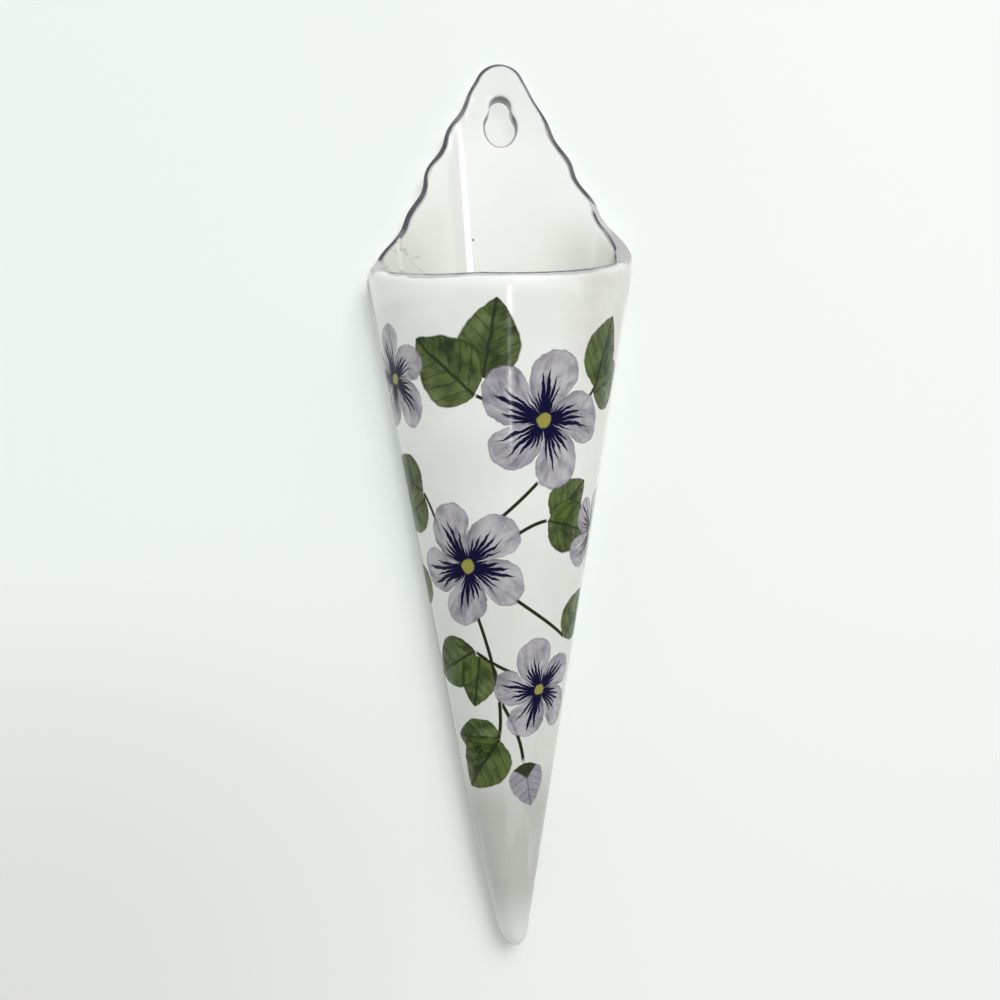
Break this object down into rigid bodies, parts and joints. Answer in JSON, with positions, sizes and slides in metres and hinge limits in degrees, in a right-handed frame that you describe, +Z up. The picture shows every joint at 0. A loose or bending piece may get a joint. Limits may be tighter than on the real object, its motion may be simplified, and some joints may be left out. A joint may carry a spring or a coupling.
{
  "type": "hanging wall vase",
  "caption": "Tapering ceramic wall pocket with a wavy crest, a sloping rim and a keyhole for hanging on a screw; holds short stems or dried flowers.",
  "frame": {"origin": "centre of the round part of the hanging hole, on the wall plane", "axes": "+Z up along the length, +Y out of the back face into the wall, +X to the right as seen from the front"},
  "size_m": [0.0781, 0.0392, 0.2597],
  "materials": {
    "white_glaze": "glossy off-white glaze over handmade clay",
    "painted_glaze": "glossy off-white glaze over underglaze flowers and leaves in lavender, navy and green"
  },
  "bodies": {
    "root": {"back_slab": "white_glaze", "front_wall": "painted_glaze", "tip_plug": "painted_glaze", "left_seam_coil": "white_glaze", "right_seam_coil": "white_glaze"}
  },
  "joints": []
}
